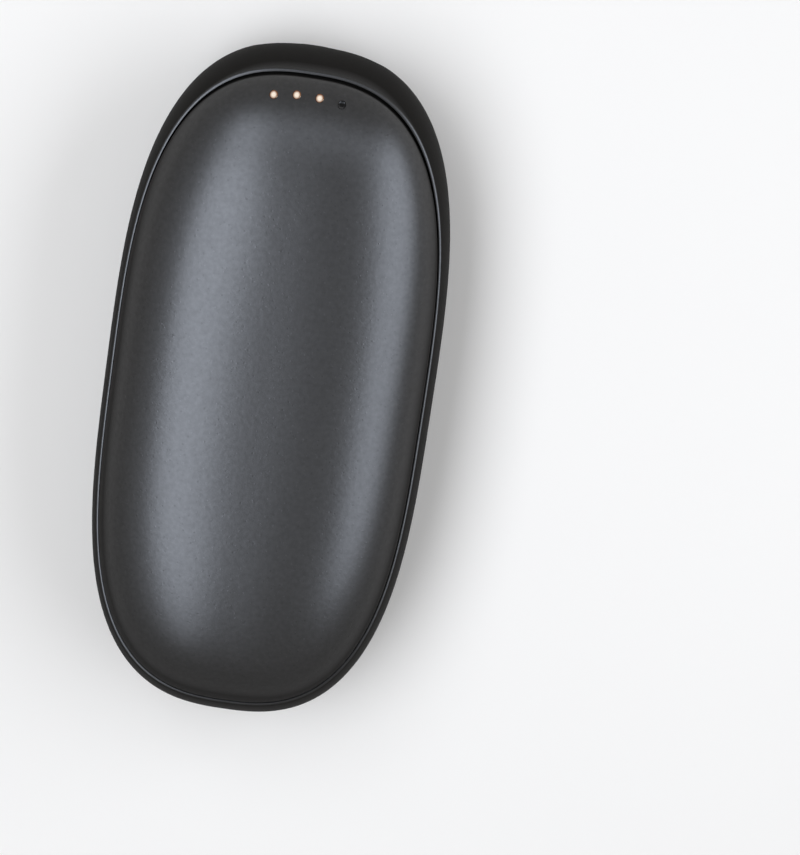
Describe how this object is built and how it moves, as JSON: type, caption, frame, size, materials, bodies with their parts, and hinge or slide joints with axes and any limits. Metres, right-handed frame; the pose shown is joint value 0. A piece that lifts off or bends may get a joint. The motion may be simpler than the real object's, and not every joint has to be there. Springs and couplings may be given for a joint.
{
  "type": "rechargeable hand warmer",
  "caption": "Pebble-shaped rechargeable hand warmer with a domed cover over a deep rear tub, indicator lights, charging socket, power button and heated layers round its cells.",
  "frame": {"origin": "middle of the flat back, on the surface the object rests on", "axes": "+Z is the front face's outward normal, +Y the long axis towards the indicator lights, +X completes a right-handed set across the width"},
  "size_m": [0.05, 0.1042, 0.028],
  "materials": {
    "front_shell": "soft-touch charcoal, fine speckle",
    "rear_shell": "satin brownish black",
    "light_guide": "milky clear acrylic",
    "spreader": "rolled sheet",
    "heater_film": "amber polyimide film",
    "foam": "open foam",
    "cell_can": "nickel-plated can",
    "cell_sleeve": "shrink film",
    "card": "fibre card",
    "nickel": "nickel strip",
    "cradle": "moulded",
    "board": "green solder mask",
    "screw": "zinc plated",
    "socket_steel": "deep-drawn tube",
    "socket_plastic": "moulded",
    "contact": "gold plated",
    "button": "satin",
    "switch": "moulded",
    "plunger": "moulded",
    "led": "phosphor lens",
    "chip": "moulded package",
    "inductor": "pressed ferrite",
    "capacitor": "ceramic",
    "resistor": "glazed",
    "sensor": "epoxy bead",
    "fuse": "drawn case",
    "red_lead": "silicone insulation",
    "black_lead": "silicone insulation",
    "white_lead": "silicone insulation"
  },
  "bodies": {
    "housing": {"front_shell": "front_shell", "rear_shell": "rear_shell", "light_guide": "light_guide", "front_heat_spreader": "spreader", "rear_heat_spreader": "spreader", "front_heater_film": "heater_film", "rear_heater_film": "heater_film", "front_foam_pad": "foam", "rear_foam_pad": "foam", "left_cell": "cell_can", "right_cell": "cell_can", "left_cell_sleeve": "cell_sleeve", "right_cell_sleeve": "cell_sleeve", "insulator_rings": "card", "positive_strip": "nickel", "negative_strip": "nickel", "cell_cradle": "cradle", "main_board": "board", "board_screws": "screw", "socket_shell": "socket_steel", "socket_insulator": "socket_plastic", "socket_contacts": "contact", "switch_body": "switch", "indicator_leds": "led", "controller_chip": "chip", "charger_chip": "chip", "protection_chip": "chip", "heater_mosfets": "chip", "power_inductor": "inductor", "chip_capacitors": "capacitor", "chip_resistors": "resistor", "front_thermistor": "sensor", "rear_thermistor": "sensor", "thermal_fuse": "fuse", "positive_lead": "red_lead", "negative_lead": "black_lead", "front_heater_leads": "white_lead", "rear_heater_leads": "white_lead"},
    "button": {"power_button": "button", "switch_plunger": "plunger"}
  },
  "joints": [
    {"name": "button_press", "type": "slide", "parent": "housing", "child": "button", "axis": [0, -1, 0], "range_m": [0, 0.0005], "stiffness_N_per_m": 3000}
  ]
}
